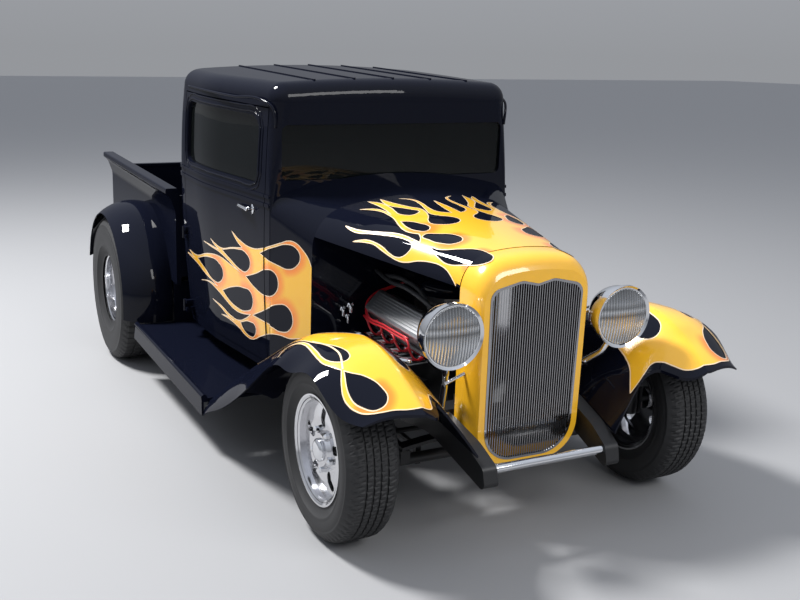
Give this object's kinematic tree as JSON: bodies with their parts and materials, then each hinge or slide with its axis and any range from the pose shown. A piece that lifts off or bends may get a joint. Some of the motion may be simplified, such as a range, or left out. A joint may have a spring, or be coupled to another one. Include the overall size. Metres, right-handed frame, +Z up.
{
  "type": "hot rod pickup",
  "caption": "Chopped 1930s style pickup hot rod with flamed paint, open-sided bonnet, upright barred grille, fenders and a short bed.",
  "frame": {"origin": "on the road under the middle of the car's overall length and width", "axes": "+Z up, front of the car faces -Y, +X to the car's left side"},
  "size_m": [1.912, 4.086, 1.6833],
  "materials": {
    "black_paint": "gloss",
    "flame_yellow": "gloss",
    "chassis_black": "satin",
    "chrome": "polished",
    "bright_trim": "polished",
    "polished_alloy": "polished",
    "engine_metal": "satin",
    "cabin_trim": "matte",
    "seat_cover": "satin",
    "tinted_glass": "gloss",
    "lamp_glass": "gloss",
    "red_lens": "gloss",
    "tyre_rubber": "matte"
  },
  "bodies": {
    "chassis": {"accessory_drive": "chrome", "bed_floor": "black_paint", "bed_sides": "black_paint", "bench_seat": "seat_cover", "cab_floor": "cabin_trim", "cab_glass": "tinted_glass", "cab_shell": "black_paint", "cowl": "black_paint", "dashboard": "cabin_trim", "engine_block": "engine_metal", "engine_tops": "polished_alloy", "exhaust": "chrome", "frame": "chassis_black", "front_axle": "chassis_black", "front_fenders": "black_paint", "fuel_tank": "chassis_black", "grille_insert": "bright_trim", "grille_shell": "flame_yellow", "headlamp_lenses": "lamp_glass", "headlamps": "chrome", "hood_top": "flame_yellow", "radiator": "chassis_black", "rear_axle": "chassis_black", "rear_fenders": "black_paint", "roof_panel": "black_paint", "running_boards": "black_paint", "spreader_bar": "chrome", "steering_wheel": "cabin_trim", "tail_lamps": "red_lens"},
    "door_left_body": {"door_left": "black_paint", "door_glass_left": "tinted_glass"},
    "door_right_body": {"door_right": "black_paint", "door_glass_right": "tinted_glass"},
    "tailgate_body": {"tailgate": "black_paint"},
    "knuckle_left_body": {"knuckle_left": "chassis_black"},
    "knuckle_right_body": {"knuckle_right": "chassis_black"},
    "tie_rod_body": {"tie_rod": "chassis_black"},
    "wheel_front_left_body": {"wheel_front_left": "polished_alloy", "tyre_front_left": "tyre_rubber"},
    "wheel_front_right_body": {"wheel_front_right": "polished_alloy", "tyre_front_right": "tyre_rubber"},
    "wheel_rear_left_body": {"wheel_rear_left": "polished_alloy", "tyre_rear_left": "tyre_rubber"},
    "wheel_rear_right_body": {"wheel_rear_right": "polished_alloy", "tyre_rear_right": "tyre_rubber"}
  },
  "joints": [
    {"name": "steer_left", "type": "hinge", "parent": "chassis", "child": "knuckle_left_body", "pos_m": [0.66, -1.5502, 0.342], "axis": [0, -0.0401, 0.9992], "range_deg": [-25, 25]},
    {"name": "steer_right", "type": "hinge", "parent": "chassis", "child": "knuckle_right_body", "pos_m": [-0.66, -1.5502, 0.342], "axis": [0, -0.0401, 0.9992], "range_deg": [-25, 25]},
    {"name": "tie_rod_slide", "type": "slide", "parent": "chassis", "child": "tie_rod_body", "axis": [1, 0, 0], "range_m": [-0.06, 0.06]},
    {"name": "spin_front_left", "type": "hinge", "parent": "knuckle_left_body", "child": "wheel_front_left_body", "pos_m": [0.697, -1.5502, 0.342], "axis": [1, 0, 0], "continuous": true},
    {"name": "spin_front_right", "type": "hinge", "parent": "knuckle_right_body", "child": "wheel_front_right_body", "pos_m": [-0.697, -1.5502, 0.342], "axis": [1, 0, 0], "continuous": true},
    {"name": "spin_rear_left", "type": "hinge", "parent": "chassis", "child": "wheel_rear_left_body", "pos_m": [0.8, 1.1358, 0.404], "axis": [1, 0, 0], "continuous": true},
    {"name": "spin_rear_right", "type": "hinge", "parent": "chassis", "child": "wheel_rear_right_body", "pos_m": [-0.8, 1.1358, 0.404], "axis": [1, 0, 0], "continuous": true},
    {"name": "door_left_hinge", "type": "hinge", "parent": "chassis", "child": "door_left_body", "pos_m": [0.712, 0.34813, 0.97697], "axis": [0, -0.0401, 0.9992], "range_deg": [0, 60]},
    {"name": "door_right_hinge", "type": "hinge", "parent": "chassis", "child": "door_right_body", "pos_m": [-0.712, 0.34813, 0.97697], "axis": [0, -0.0401, 0.9992], "range_deg": [-60, 0]},
    {"name": "tailgate_hinge", "type": "hinge", "parent": "chassis", "child": "tailgate_body", "pos_m": [0, 2.03204, 0.61426], "axis": [-1, 0, 0], "range_deg": [0, 90]}
  ],
  "couplings": [
    {"joint": "steer_right", "follows": "steer_left", "ratio": 1},
    {"joint": "tie_rod_slide", "follows": "steer_left", "m_per_rad": -0.105}
  ]
}
